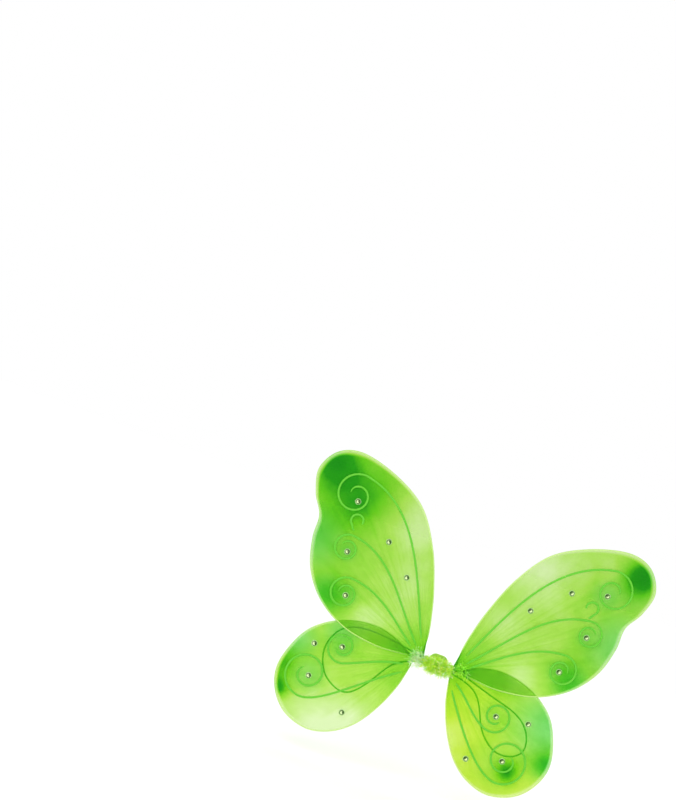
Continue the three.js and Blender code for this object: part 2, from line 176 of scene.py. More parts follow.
# Dye patches: place as shares, radius in millimetres, added depth, and how cool a green. A
# wing's own cool is the least coolness of its green anywhere.
UPPER_DYE = [
    (0.9, 0.89, 21, 0.9, 0.85),
    (0.86, 0.8, 60, 0.08, 0.5),
    (0.67, 0.92, 24, -0.1, 0.35),
    (0.2, 0.36, 24, -0.16, 0.1),
    (0.9, 0.45, 56, 0.09, 0.8),
    (0.7, 0.16, 34, 0.32, 0.75),
    (0.3, 0.74, 36, -0.3, 0.1),
    (0.42, 0.08, 22, -0.18, 0),
]
WINGS = [
    dict(name="upper_left", side=-1, tier=UPPER, body="left_wings", reach=2, trim=(-2, 3),
         turn=0, cool=0.34, dye=UPPER_DYE + [(0.72, 0.8, 62, 0.44, 0.5), (0.2, 0.16, 26, -0.12, 0)],
         gems=[(0.701, 0.723), (0.437, 0.565), (0.259, 0.406), (0.657, 0.429), (0.575, 0.188)]),
    dict(name="upper_right", side=1, tier=UPPER, body="right_wings", reach=0, trim=(0, 0),
         turn=0, cool=0.34, dye=UPPER_DYE,
         gems=[(0.728, 0.715), (0.518, 0.66), (0.318, 0.48), (0.694, 0.444), (0.609, 0.2)]),
    dict(name="lower_left", side=-1, tier=LOWER, body="left_lower_wing", reach=12, trim=(1, 0),
         turn=30, cool=0.3,
         dye=[(0.93, -0.2, 34, 0.1, 0.8), (0.6, 0.02, 34, 0.08, 0.7), (1.0, -0.48, 24, 0.5, 0.35),
              (0.94, -0.72, 13, 0.75, 0.5), (0.5, -0.98, 44, -0.42, 0), (0.3, -0.72, 24, -0.2, 0)],
         gems=[(0.561, -0.132), (0.78, -0.192), (0.736, -0.502), (0.386, -0.728)]),
    dict(name="lower_right", side=1, tier=LOWER, body="right_lower_wing", reach=0, trim=(0, 0),
         turn=6, cool=0.0,
         dye=[(0.42, 0.12, 28, 0.16, 0.3), (0.9, -0.16, 56, 0.05, 0.9), (0.97, -0.52, 22, 0.4, 0.9),
              (0.69, -0.72, 15, 0.6, 0.4), (0.14, -0.62, 22, -0.22, 0)],
         gems=[(0.455, -0.253), (0.718, -0.215), (0.624, -0.638), (0.343, -0.736)]),
]

# Dye tones from the palest to the deepest, first the warm green and then the cool one: what the
# cloth shows lit, and what it lets through
DYE_LIT = [
    [(0, 0.54, 0.76, 0.2), (0.4, 0.38, 0.69, 0.01), (0.75, 0.19, 0.62, 0.003), (1, 0.04, 0.44, 0.003)],
    [(0, 0.33, 0.7, 0.33), (0.4, 0.1, 0.57, 0.1), (0.75, 0.025, 0.46, 0.022), (1, 0.006, 0.33, 0.004)],
]
DYE_THROUGH = [
    [(0, 0.93, 0.96, 0.75), (0.4, 0.78, 0.9, 0.26), (0.75, 0.52, 0.84, 0.05), (1, 0.14, 0.66, 0.015)],
    [(0, 0.79, 0.93, 0.75), (0.4, 0.5, 0.86, 0.48), (0.75, 0.15, 0.71, 0.13), (1, 0.03, 0.5, 0.02)],
]
KNIT_PITCH = 0.0008

# Routes of the two elastic loops as (x, z), all in one plane behind the wings
ELASTIC_Y = -4.4
LEFT_ELASTIC = [
    (-10.3, 2.4), (-14, 2.5), (-35, 5), (-65, 9.5), (-95, 11.5), (-118, 8), (-133, -2),
    (-141, -17), (-143, -32), (-139, -48), (-131, -61), (-119, -70), (-106, -74.5),
    (-95, -72.5), (-85, -64.5), (-76, -53), (-69, -42), (-63, -32), (-55, -21), (-43, -12),
    (-28, -6), (-14, -2.7), (-10.3, -2.4),
]
RIGHT_ELASTIC = [
    (10.3, 2.4), (14, 2.3), (27, 1), (42, -3), (60, -8.5), (84, -15.5), (102, -20),
    (116, -25), (128, -32.5), (137, -43), (142, -56), (141, -68), (133, -76.5), (120, -80.5),
    (107, -79), (95, -72), (84, -61), (77, -49), (71, -36), (64, -24), (54, -14.5),
    (40, -8.5), (26, -5), (14, -2.7), (10.3, -2.4),
]


# ---- nodes and finishes


def add(tree, kind, feed=None, **settings):
    """Adds a node, sets its properties, and feeds its sockets with values or other sockets."""
    made = tree.nodes.new(kind)
    for name, value in settings.items():
        setattr(made, name, value)
    for socket, value in (feed or {}).items():
        if isinstance(value, bpy.types.NodeSocket):
            tree.links.new(value, made.inputs[socket])
        else:
            made.inputs[socket].default_value = value
    return made


def sum_of(tree, operation, first, second=0.0, third=0.0, clamp=False):
    feed = {0: first, 1: second, 2: third}
    return add(tree, "ShaderNodeMath", feed, operation=operation, use_clamp=clamp).outputs[0]


def plus(tree, first, second, clamp=False):
    return sum_of(tree, "ADD", first, second, clamp=clamp)


def times(tree, first, second, clamp=False):
    return sum_of(tree, "MULTIPLY", first, second, clamp=clamp)


def scaled(tree, value, by, raised, clamp=False):
    return sum_of(tree, "MULTIPLY_ADD", value, by, raised, clamp)


def centred(tree, noisy, amount):
    """Noise about nought, amount from its lowest to its highest."""
    return scaled(tree, noisy, amount, -amount / 2)


def attribute(tree, name):
    return add(tree, "ShaderNodeAttribute", attribute_name=name).outputs["Fac"]


def mixed(tree, share, first, second):
    feed = {0: share, 6: first, 7: second}
    return add(tree, "ShaderNodeMix", feed, data_type="RGBA").outputs[2]


def ramp(tree, share, stops):
    """A colour that runs through stops of (share, red, green, blue)."""
    made = add(tree, "ShaderNodeValToRGB", {0: share})
    marks = made.color_ramp.elements
    while len(marks) < len(stops):
        marks.new(0.5)
    for mark, (position, *colour) in zip(marks, stops):
        mark.position = position
        mark.color = (*colour, 1)
    return made.outputs[0]


def paint(red, green, blue):
    return (red, green, blue, 1)


def noise(tree, place, scale, detail=2.0):
    feed = {"Vector": place, "Scale": scale, "Detail": detail}
    return add(tree, "ShaderNodeTexNoise", feed).outputs["Fac"]


def bump(tree, height, strength, depth):
    feed = {"Height": height, "Strength": strength, "Distance": depth}
    return add(tree, "ShaderNodeBump", feed).outputs["Normal"]


def object_place(tree):
    return add(tree, "ShaderNodeTexCoord").outputs["Object"]


def own_map(tree, name):
    return add(tree, "ShaderNodeUVMap", uv_map=name).outputs["UV"]


def finish(name, **sockets):
    """A new material with its one Principled shader, whose plain values are set by socket name."""
    material = bpy.data.materials.new(name)
    material.use_nodes = True
    tree = material.node_tree
    shader = tree.nodes["Principled BSDF"]
    for socket, value in sockets.items():
        shader.inputs[socket.replace("_", " ")].default_value = value
    return material, tree, shader


def connect(tree, shader, **feeds):
    for socket, source in feeds.items():
        tree.links.new(source, shader.inputs[socket.replace("_", " ")])


def coloured(made, share, low, high, relief, height=None):
    """Runs a finish's colour from low to high by share, and raises it by height, or else by
    share. relief is the strength of the raising and its depth in metres."""
    material, tree, shader = made
    raised = bump(tree, share if height is None else height, *relief)
    connect(tree, shader, Base_Color=mixed(tree, share, paint(*low), paint(*high)), Normal=raised)
    return material


def speckled(made, scale, detail, low, high, relief):
    """Colours a finish with speckles of its own, scale of them to the metre."""
    speckle = noise(made[1], object_place(made[1]), scale, detail)
    return coloured(made, speckle, low, high, relief)


def ridges(tree, place, angle, pitch):
    """A sine of the place along one direction in the X-Z plane, repeating every pitch metres."""
    turn = math.radians(angle)
    along = Vector((math.cos(turn), 0, math.sin(turn))) * (2 * math.pi / pitch)
    dot = add(tree, "ShaderNodeVectorMath", {0: place, 1: along}, operation="DOT_PRODUCT")
    return sum_of(tree, "SINE", dot.outputs["Value"])


def dyed_nylon():
    """Two tones of dye, warm and cool, each a part that lights up and a part that filters what
    shows through, so that layers lying over one another deepen as dyed nylon does."""
    sockets = dict(Roughness=0.5, Sheen_Weight=0.1, Specular_IOR_Level=0.3)
    material, tree, shader = finish("dyed_nylon", **sockets)
    place = object_place(tree)
    cloudy = centred(tree, noise(tree, place, 38, 3), 0.3)
    # gathers streak the dye, most of all near the neck
    streaks = centred(tree, noise(tree, own_map(tree, "gathers"), 1, 3), 0.9)
    inner = sum_of(tree, "SUBTRACT", 1.0, attribute(tree, "reach"), clamp=True)
    streaks = times(tree, streaks, scaled(tree, inner, 0.55, 0.1))
    depth = plus(tree, attribute(tree, "dye_depth"), cloudy)
    depth = plus(tree, depth, streaks)
    # cloth drawn tight over the wire is paler
    thinned = sum_of(tree, "SUBTRACT", 1.0, attribute(tree, "rim"))
    depth = times(tree, depth, thinned, clamp=True)
    cool = attribute(tree, "cool")
    warm_lit, cool_lit = (ramp(tree, depth, stops) for stops in DYE_LIT)
    warm_through, cool_through = (ramp(tree, depth, stops) for stops in DYE_THROUGH)
    lit = mixed(tree, cool, warm_lit, cool_lit)
    through = mixed(tree, cool, warm_through, cool_through)

    # the knit of the back layer leans a little, so that the two layers don't line up
    parts = add(tree, "ShaderNodeSeparateXYZ", {0: place})
    lean = times(tree, attribute(tree, "layer"), 0.09)
    skewed = scaled(tree, parts.outputs["Z"], lean, parts.outputs["X"])
    feed = {"X": skewed, "Z": parts.outputs["Z"]}
    knit_place = add(tree, "ShaderNodeCombineXYZ", feed).outputs[0]
    wales = ridges(tree, knit_place, 33, KNIT_PITCH)
    courses = ridges(tree, knit_place, 147, KNIT_PITCH)
    knit = plus(tree, wales, courses)
    cover = scaled(tree, depth, 0.2, 0.14)
    cover = scaled(tree, knit, 0.05, cover, clamp=True)

    connect(tree, shader, Base_Color=lit, Normal=bump(tree, knit, 0.25, 0.0001))
    clear = add(tree, "ShaderNodeBsdfTransparent", {"Color": through}).outputs[0]
    both = add(tree, "ShaderNodeMixShader", {0: cover, 1: clear, 2: shader.outputs[0]})
    tree.links.new(both.outputs[0], tree.nodes["Material Output"].inputs["Surface"])
    return material


def wire_coating():
    made = finish("wire_coating", Roughness=0.35, Specular_IOR_Level=0.5)
    return speckled(made, 900, 2, (0.8, 0.95, 0.5), (0.97, 1.0, 0.75), relief=(0.2, 0.0002))


def glitter_glue():
    made = finish("glitter_glue", Roughness=0.4, Specular_IOR_Level=0.25)
    return speckled(made, 1500, 3, (0.07, 0.5, 0.015), (0.2, 0.7, 0.05), relief=(0.5, 0.0004))


def glitter_flakes():
    material, tree, shader = finish("glitter_flakes", Metallic=0.7, Roughness=0.3)
    # each flake's random tone is partly a mix of green shades and partly painted sparkle: dark and
    # bright flakes, with the pale grain as painted glints
    tone = attribute(tree, "tone")
    grain = noise(tree, object_place(tree), 4000)
    shade = mixed(tree, tone, paint(0.04, 0.42, 0.015), paint(0.4, 0.92, 0.12))
    shade = mixed(tree, times(tree, grain, 0.2), shade, paint(0.7, 1.0, 0.5))
    connect(tree, shader, Base_Color=shade)
    return material


def rhinestone():
    sockets = dict(Metallic=0.7, Roughness=0.1, Specular_IOR_Level=0.2)
    material, tree, shader = finish("rhinestone", **sockets)
    # tone holds each facet's painted reflection, from painted dark facets up to painted glints
    tone = attribute(tree, "tone")
    cloud = centred(tree, noise(tree, object_place(tree), 700), 0.3)
    tone = plus(tree, tone, cloud, clamp=True)
    shade = mixed(tree, tone, paint(0.02, 0.085, 0.004), paint(0.82, 1.0, 0.5))
    connect(tree, shader, Base_Color=shade)
    return material


def gem_glue():
    made = finish("gem_glue", Roughness=0.12, Coat_Weight=0.4)
    return speckled(made, 900, 2, (0.3, 0.62, 0.12), (0.62, 0.86, 0.45), relief=(0.3, 0.0003))


def wound_thread():
    made = finish("wound_thread", Roughness=0.55, Sheen_Weight=0.4)
    tree = made[1]
    feed = {"Vector": own_map(tree, "lay"), "Scale": 1.0}
    ply = add(tree, "ShaderNodeTexWave", feed, bands_direction="DIAGONAL").outputs["Fac"]
    return coloured(made, ply, (0.2, 0.5, 0.01), (0.5, 0.8, 0.05), relief=(0.5, 0.0002))


def binding_tape():
    made = finish("binding_tape", Roughness=0.42, Sheen_Weight=0.5)
    tree = made[1]
    place = object_place(tree)
    woven = times(tree, ridges(tree, place, 8, 0.0006), ridges(tree, place, 98, 0.0009))
    cloud = noise(tree, place, 220)
    low, high = (0.24, 0.58, 0.005), (0.58, 0.86, 0.03)
    return coloured(made, cloud, low, high, relief=(0.35, 0.0002), height=woven)


def felt():
    material, tree, shader = finish("felt", Roughness=0.95, Sheen_Weight=0.6)
    place = object_place(tree)
    fibres = noise(tree, place, 2600, 6)
    patches = noise(tree, place, 260, 3)
    shade = mixed(tree, fibres, paint(0.2, 0.5, 0.02), paint(0.5, 0.78, 0.1))
    shade = mixed(tree, times(tree, patches, 0.4), shade, paint(0.62, 0.86, 0.2))
    connect(tree, shader, Base_Color=shade, Normal=bump(tree, fibres, 0.7, 0.0004))
    return material


def marabou(name, low, high, undyed, frosting):
    """Down whose barbs run from one dye tone to another, plume by plume, with undyed tips among
    them. frosting is the share of pale plumes, which grow thicker along the lower fringe."""
    soft = dict(Subsurface_Weight=0.5, Subsurface_Scale=0.002)
    material, tree, shader = finish(name, Roughness=0.9, Sheen_Weight=0.2, **soft)
    place = object_place(tree)
    tone = attribute(tree, "tone")
    mottled = centred(tree, noise(tree, place, 350), 0.5)
    shade = mixed(tree, plus(tree, tone, mottled, clamp=True), low, high)
    height = add(tree, "ShaderNodeSeparateXYZ", {0: place}).outputs["Z"]
    fringe = scaled(tree, height, -150.0, -1.2, clamp=True)
    pale = plus(tree, plus(tree, tone, frosting), -1.0)
    pale = times(tree, pale, 6.0, clamp=True)
    pale = sum_of(tree, "MAXIMUM", pale, times(tree, fringe, 0.6))
    shade = mixed(tree, pale, shade, undyed)
    connect(tree, shader, Base_Color=shade)
    return material


def braided_elastic():
    made = finish("braided_elastic", Roughness=0.7, Sheen_Weight=0.4)
    tree = made[1]
    parts = add(tree, "ShaderNodeSeparateXYZ", {0: own_map(tree, "lay")})
    around = times(tree, parts.outputs["X"], 2 * math.pi * 6)
    along = times(tree, parts.outputs["Y"], 2 * math.pi / 0.0022)
    one = sum_of(tree, "SINE", plus(tree, around, along))
    other = sum_of(tree, "SINE", sum_of(tree, "SUBTRACT", around, along))
    strands = scaled(tree, times(tree, one, other), 0.5, 0.5)
    return coloured(made, strands, (0.004, 0.62, 0.03), (0.03, 0.98, 0.08), relief=(0.6, 0.0003))


def pale_floor():
    sockets = dict(Roughness=0.8, Specular_IOR_Level=0.0, Emission_Strength=0.07)
    material, tree, shader = finish("pale_floor", **sockets)
    shader.inputs["Emission Color"].default_value = paint(1, 1, 1)
    mottle = noise(tree, object_place(tree), 3)
    shade = mixed(tree, mottle, paint(0.95, 0.95, 0.95), paint(0.97, 0.97, 0.97))
    connect(tree, shader, Base_Color=shade)
    return material


# ---- camera, light and floor


def new_object(name, data):
    """Puts a mesh, the camera or a lamp in the scene."""
    made = bpy.data.objects.new(name, data)
    bpy.context.scene.collection.objects.link(made)
    return made


def place_camera():
    """Level camera rolled to one side, with the wings low on the right of its view."""
    roll = math.radians(20.2)
    lens = 85.0
    distance = lens * 0.02844
    across = Vector((math.cos(roll), 0, math.sin(roll)))
    up = Vector((-math.sin(roll), 0, math.cos(roll)))
    data = bpy.data.cameras.new("camera")
    data.lens = lens
    data.sensor_width = 36.0
    data.clip_end = 50.0
    camera = new_object("camera", data)
    place = Vector((-0.2369, BINDING_Y * MM - distance, 0.2748))
    turn = Matrix((across, up, Vector((0, -1, 0)))).transposed()
    camera.matrix_world = Matrix.Translation(place) @ turn.to_4x4()
    bpy.context.scene.camera = camera


def lamp(name, place, target, size, power):
    data = bpy.data.lights.new(name, "AREA")
    data.shape = "DISK"
    data.size = size
    data.energy = power
    lit = new_object(name, data)
    lit.location = place
    lit.rotation_mode = "QUATERNION"
    aim = Vector(target) - Vector(place)
    lit.rotation_quaternion = aim.to_track_quat("-Z", "Y")


def light_the_room():
    scene = bpy.context.scene
    scene.view_settings.view_transform = "Standard"
    world = bpy.data.worlds.new("white_room")
    world.use_nodes = True
    world.node_tree.nodes["Background"].inputs["Color"].default_value = paint(1, 1, 1)
    world.node_tree.nodes["Background"].inputs["Strength"].default_value = 1.0
    scene.world = world
    lamp("key", (-0.9, -1.5, 1.4), (0, 0, 0.05), 0.7, 7.0)
    lamp("fill_behind", (1.2, 1.4, 1.2), (0, 0, 0.05), 0.9, 5.0)


def lay_floor(height, half=6.0):
    corners = [(-half, -half), (half, -half), (half, half), (-half, half)]
    points = [(x, y, height) for x, y in corners]
    mesh_piece("floor", points, [(0, 1, 2, 3)], [pale_floor()])


# ---- shapes


def mesh_piece(name, points, faces=(), materials=(), smooth=True, edges=()):
    mesh = bpy.data.meshes.new(name)
    mesh.from_pydata([tuple(p) for p in points], edges, faces)
    for material in materials:
        mesh.materials.append(material)
    mesh.polygons.foreach_set("use_smooth", [smooth] * len(mesh.polygons))
    mesh.update()
    return new_object(name, mesh)


def skin_faces(rings, sides, closed=False):
    """Quads between rings of points. closed also joins the last ring to the first."""
    faces = []
    for i in range(rings if closed else rings - 1):
        j = (i + 1) % rings
        for k in range(sides):
            m = (k + 1) % sides
            faces.append((i * sides + k, i * sides + m, j * sides + m, j * sides + k))
    return faces


def shell(rings, material):
    """A lofted skin over rings of equal length, each anticlockwise seen from the last one's
    side, with both ends closed."""
    per = len(rings[0])
    verts = [p for ring in rings for p in ring]
    faces = skin_faces(len(rings), per)
    faces.append(tuple(range(per))[::-1])
    faces.append(tuple(range(len(verts) - per, len(verts))))
    return mesh_piece("shell", verts, faces, [material])


def put_attribute(mesh, name, values, domain="POINT"):
    made = mesh.attributes.new(name, "FLOAT", domain)
    made.data.foreach_set("value", np.asarray(values, np.float32))


def put_uv(mesh, name, corner_values):
    layer = mesh.uv_layers.new(name=name)
    layer.data.foreach_set("uv", np.asarray(corner_values, np.float32).ravel())


def smooth_line(points, per_span):
    """Points on the uniform Catmull-Rom spline through points, per_span to each span."""
    line = []
    last = len(points) - 1
    for i in range(last):
        p0, p1 = points[max(i - 1, 0)], points[i]
        p2, p3 = points[i + 1], points[min(i + 2, last)]
        v0, v1 = (p2 - p0) * 0.5, (p3 - p1) * 0.5
        for k in range(per_span):
            t = k / per_span
            line.append((2 * p1 - 2 * p2 + v0 + v1) * t**3
                        + (-3 * p1 + 3 * p2 - 2 * v0 - v1) * t**2 + v0 * t + p1)
    line.append(points[last])
    return line


def bezier(p0, p1, p2, p3, steps):
    line = []
    for k in range(steps + 1):
        t = k / steps
        line.append(p0 * (1 - t) ** 3 + p1 * 3 * t * (1 - t) ** 2
                    + p2 * 3 * t**2 * (1 - t) + p3 * t**3)
    return line


def length_of(points):
    return sum((b - a).length for a, b in zip(points, points[1:]))


def evenly(points, count):
    """count + 1 points at equal distances along a polyline."""
    total = length_of(points)
    spaced, travelled, target = [points[0].copy()], 0.0, total / count
    for a, b in zip(points, points[1:]):
        step = (b - a).length
        while step > 0 and travelled + step >= target - 1e-9 and len(spaced) < count:
            spaced.append(a.lerp(b, (target - travelled) / step))
            target = total * len(spaced) / count
        travelled += step
    spaced.append(points[-1].copy())
    return spaced


def turned(degrees):
    return Vector((math.cos(math.radians(degrees)), math.sin(math.radians(degrees))))


def tangents(points):
    last = len(points) - 1
    return [(points[min(i + 1, last)] - points[max(i - 1, 0)]).normalized()
            for i in range(len(points))]


def tube(points, radius, sides, material, closed=False):
    """A swept round tube whose UV map, lay, holds the share round it and the metres along it.
    radius may be a list, one to each point."""
    count = len(points)
    radii = radius if isinstance(radius, list) else [radius] * count
    if closed:
        line = [(points[(i + 1) % count] - points[i - 1]).normalized() for i in range(count)]
    else:
        line = tangents(points)
    side = line[0].orthogonal().normalized()
    sides_at = []
    for direction in line:
        side = (side - direction * side.dot(direction)).normalized()
        sides_at.append(side)
    twist = 0.0
    if closed:  # spread the twist left over at the seam
        start = sides_at[0]
        end = (sides_at[-1] - line[0] * sides_at[-1].dot(line[0])).normalized()
        twist = math.atan2(end.cross(start).dot(line[0]), end.dot(start))
    verts, uvs, travelled = [], [], [0.0]
    for i, point in enumerate(points):
        other = line[i].cross(sides_at[i])
        for k in range(sides):
            angle = 2 * math.pi * k / sides + twist * i / count
            out = sides_at[i] * math.cos(angle) + other * math.sin(angle)
            verts.append(point + out * radii[i])
        travelled.append(travelled[-1] + (points[(i + 1) % count] - point).length)
    faces = skin_faces(count, sides, closed)
    for i in range(len(faces) // sides):
        for k in range(sides):
            low, high = k / sides, (k + 1) / sides
            uvs += [(low, travelled[i]), (high, travelled[i])]
            uvs += [(high, travelled[i + 1]), (low, travelled[i + 1])]
    if not closed:
        for ring, end in ((0, list(range(sides))[::-1]), (count - 1, list(range(sides)))):
            verts.append(points[ring] + line[ring] * (radii[ring] * (0.3 if ring else -0.3)))
            tip = len(verts) - 1
            for k, m in zip(end, end[1:] + end[:1]):
                faces.append((ring * sides + k, ring * sides + m, tip))
                uvs += [(k / sides, travelled[ring])] * 3
    piece = mesh_piece("tube", verts, faces, [material])
    put_uv(piece.data, "lay", uvs)
    return piece


def finished(piece, name, body, replaced=()):
    """Gives a piece its name, the body it rides on and the nodes it stands for."""
    piece.name = name
    piece.data.name = name
    if body:
        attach(piece, body)
    if replaced:
        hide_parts(*replaced)
    return piece


# ---- geometry node trees


def new_tree(name, sockets):
    """A geometry tree with a geometry in and out, and named inputs as (name, kind) pairs."""
    tree = bpy.data.node_groups.new(name, "GeometryNodeTree")
    tree.interface.new_socket("Geometry", in_out="INPUT", socket_type="NodeSocketGeometry")
    for label, kind in sockets:
        tree.interface.new_socket(label, in_out="INPUT", socket_type="NodeSocket" + kind)
    tree.interface.new_socket("Geometry", in_out="OUTPUT", socket_type="NodeSocketGeometry")
    start = tree.nodes.new("NodeGroupInput")
    return tree, start.outputs


def end_tree(tree, instances, material):
    """Makes a tree's instances real, gives them their finish and sends them out."""
    real = add(tree, "GeometryNodeRealizeInstances", {0: instances})
    feed = {"Geometry": real.outputs[0], "Material": material}
    dressed = add(tree, "GeometryNodeSetMaterial", feed)
    add(tree, "NodeGroupOutput", {0: dressed.outputs[0]})
    return tree


def scatter_tree():
    """Small pieces standing on a surface, each turned, leaned and sized by chance."""
    tree, given = new_tree("scatter_on_surface", [
        ("Pieces", "Collection"), ("Per square metre", "Float"), ("Smallest", "Float"),
        ("Largest", "Float"), ("Lean", "Float"), ("Seed", "Int"), ("Finish", "Material"),
    ])
    spots = add(tree, "GeometryNodeDistributePointsOnFaces", {
        "Mesh": given["Geometry"], "Density": given["Per square metre"], "Seed": given["Seed"],
    })
    kinds = add(tree, "GeometryNodeCollectionInfo", {
        "Collection": given["Pieces"], "Separate Children": True, "Reset Children": True,
    })
    size = add(tree, "FunctionNodeRandomValue", {
        2: given["Smallest"], 3: given["Largest"], "Seed": given["Seed"],
    })
    placed = add(tree, "GeometryNodeInstanceOnPoints", {
        "Points": spots.outputs["Points"], "Instance": kinds.outputs[0],
        "Pick Instance": True, "Rotation": spots.outputs["Rotation"], "Scale": size.outputs[1],
    })
    lean = given["Lean"]
    back = add(tree, "ShaderNodeMath", {0: lean, 1: -1.0}, operation="MULTIPLY").outputs[0]
    least = add(tree, "ShaderNodeCombineXYZ", {"X": back, "Y": back, "Z": 0.0}).outputs[0]
    most = add(tree, "ShaderNodeCombineXYZ", {"X": lean, "Y": lean, "Z": 2 * math.pi}).outputs[0]
    tilt = add(tree, "FunctionNodeRandomValue", {0: least, 1: most, "Seed": given["Seed"]},
               data_type="FLOAT_VECTOR")
    leaned = add(tree, "GeometryNodeRotateInstances", {
        "Instances": placed.outputs[0], "Rotation": tilt.outputs[0],
    })
    chance = add(tree, "FunctionNodeRandomValue", {2: 0.0, 3: 1.0, "Seed": given["Seed"]})
    toned = add(tree, "GeometryNodeStoreNamedAttribute", {
        "Geometry": leaned.outputs[0], "Name": "tone", "Value": chance.outputs[1],
    }, data_type="FLOAT", domain="INSTANCE")
    return end_tree(tree, toned.outputs[0], given["Finish"])


def glue_line_tree(scatter):
    """A round bead of glue swept along each line, its ends drawn out, with flakes set in it."""
    tree, given = new_tree("glue_lines", [
        ("Bead width", "Float"), ("Unevenness", "Float"), ("Flakes", "Collection"),
        ("Flakes per square metre", "Float"), ("Seed", "Int"), ("Glue", "Material"),
        ("Glitter", "Material"),
    ])
    line = add(tree, "GeometryNodeMeshToCurve", {0: given["Geometry"]}).outputs[0]
    share = add(tree, "GeometryNodeSplineParameter").outputs["Factor"]
    ends = add(tree, "ShaderNodeMath", {0: share, 1: sum_of(tree, "SUBTRACT", 1.0, share)},
               operation="MINIMUM").outputs[0]
    ends = scaled(tree, ends, 22.0, 0.4, clamp=True)
    place = add(tree, "GeometryNodeInputPosition").outputs[0]
    wander = add(tree, "ShaderNodeTexNoise", {"Vector": place, "Scale": 180.0}).outputs[0]
    wander = scaled(tree, wander, 2.0, -1.0)
    wander = scaled(tree, wander, given["Unevenness"], 1.0)
    thick = times(tree, ends, wander)
    half = times(tree, given["Bead width"], 0.5)
    ring = add(tree, "GeometryNodeCurvePrimitiveCircle", {"Resolution": 8, "Radius": half})
    bead = add(tree, "GeometryNodeCurveToMesh", {
        "Curve": line, "Profile Curve": ring.outputs[0], "Scale": thick, "Fill Caps": True,
    })
    bead = add(tree, "GeometryNodeSetMaterial", {0: bead.outputs[0], "Material": given["Glue"]})
    flakes = add(tree, "GeometryNodeGroup", {
        "Geometry": bead.outputs[0], "Pieces": given["Flakes"],
        "Per square metre": given["Flakes per square metre"], "Seed": given["Seed"],
        "Finish": given["Glitter"], "Smallest": 0.6, "Largest": 1.25, "Lean": 0.7,
    }, node_tree=scatter)
    both = add(tree, "GeometryNodeJoinGeometry")
    tree.links.new(bead.outputs[0], both.inputs[0])
    tree.links.new(flakes.outputs[0], both.inputs[0])
    add(tree, "NodeGroupOutput", {0: both.outputs[0]})
    return tree


def stitch_tree():
    """One piece repeated at even steps along a line, its X axis along the line."""
    tree, given = new_tree("stitches_along_line", [
        ("Step", "Float"), ("Stitch", "Object"), ("Finish", "Material"),
    ])
    line = add(tree, "GeometryNodeMeshToCurve", {0: given["Geometry"]}).outputs[0]
    spots = add(tree, "GeometryNodeResampleCurve", {"Curve": line, "Length": given["Step"]},
                mode="LENGTH")
    along = add(tree, "GeometryNodeInputTangent").outputs[0]
    turn = add(tree, "FunctionNodeAlignRotationToVector", {"Vector": along}, axis="X").outputs[0]
    stitch = add(tree, "GeometryNodeObjectInfo", {"Object": given["Stitch"]})
    placed = add(tree, "GeometryNodeInstanceOnPoints", {
        "Points": spots.outputs[0], "Instance": stitch.outputs["Geometry"], "Rotation": turn,
    })
    return end_tree(tree, placed.outputs[0], given["Finish"])


def grown(base, tree, values):
    """A plain mesh piece of what the tree makes of base with these input values."""
    modifier = base.modifiers.new("grow", "NODES")
    modifier.node_group = tree
    sockets = {s.name: s for s in tree.interface.items_tree if s.in_out == "INPUT"}
    for label, value in values.items():
        modifier[sockets[label].identifier] = value
    graph = bpy.context.evaluated_depsgraph_get()
    mesh = bpy.data.meshes.new_from_object(base.evaluated_get(graph), depsgraph=graph)
    bpy.data.objects.remove(base)
    return new_object(tree.name, mesh)


def put_aside(name, pieces):
    """A collection of shapes for the trees to repeat, out of the scene itself."""
    shelf = bpy.data.collections.new(name)
    for piece in pieces:
        bpy.context.scene.collection.objects.unlink(piece)
        shelf.objects.link(piece)
    return shelf


# ---- wings


def root_of(wing):
    x = HINGE_X + HINGE_CLEARANCE + FIT_GAP + wing["reach"] + WRAP_LENGTH + NECK_CLEARANCE
    return Vector((x, wing["tier"]["legs_z"]))


def place_on(wing, share):
    tier = wing["tier"]
    root = root_of(wing)
    span = tier["span"] + wing["trim"][0]
    height = tier["height"] + wing["trim"][1]
    return Vector((root.x + share[0] * span, root.y + share[1] * height))


def set_in(wing, point, depth_y):
    """A drawn point, in millimetres on the right-hand side, as a place in the frame."""
    return Vector((wing["side"] * point.x, depth_y, point.y)) * MM


def outline_of(wing, steps=OUTLINE_STEPS):
    control = [place_on(wing, share) for share in wing["tier"]["edge"]]
    return evenly(smooth_line(control, 24), steps)


def moved_in(points, distance):
    """The outline runs clockwise, so its inside lies to the right of each tangent."""
    return [p + Vector((t.y, -t.x)) * distance for p, t in zip(points, tangents(points))]


def wire_line(wing, steps):
    """The wire's centreline from its upper leg at the wrap, round the wing, to its lower leg."""
    run = moved_in(outline_of(wing, steps), WIRE_INSET)
    directions = tangents(run)
    legs_z = wing["tier"]["legs_z"]
    wrap_end = root_of(wing).x - NECK_CLEARANCE
    bends = []
    for z, joint, away in (
        (legs_z + LEG_SPACING / 2, run[0], directions[0]),
        (legs_z - LEG_SPACING / 2, run[-1], -directions[-1]),
    ):
        leg = Vector((wrap_end, z))
        pull = 0.4 * (joint - leg).length
        bends.append(bezier(leg, leg + Vector((pull, 0)), joint - away * pull, joint, 8)[:-1])
    return bends[0] + run + bends[1][::-1]


def on_wing(wing, piece, label, nodes):
    """Finishes a piece that rides on a wing and stands for some of that wing's nodes."""
    stands_for = [f"{wing['name']}_{node}" for node in nodes]
    finished(piece, f"{wing['name']}_{label}", wing["body"], stands_for)


def coated_wire(wing, material):
    tier = wing["tier"]
    line = wire_line(wing, 220)
    tail_x = HINGE_X + HINGE_CLEARANCE
    path = [Vector((tail_x, line[0].y))] + line + [Vector((tail_x, line[-1].y))]
    points = [set_in(wing, p, tier["plane"]) for p in path]
    piece = tube(points, WIRE_DIAMETER / 2 * MM, 10, material)
    on_wing(wing, piece, "coated_wire", ["wire"])


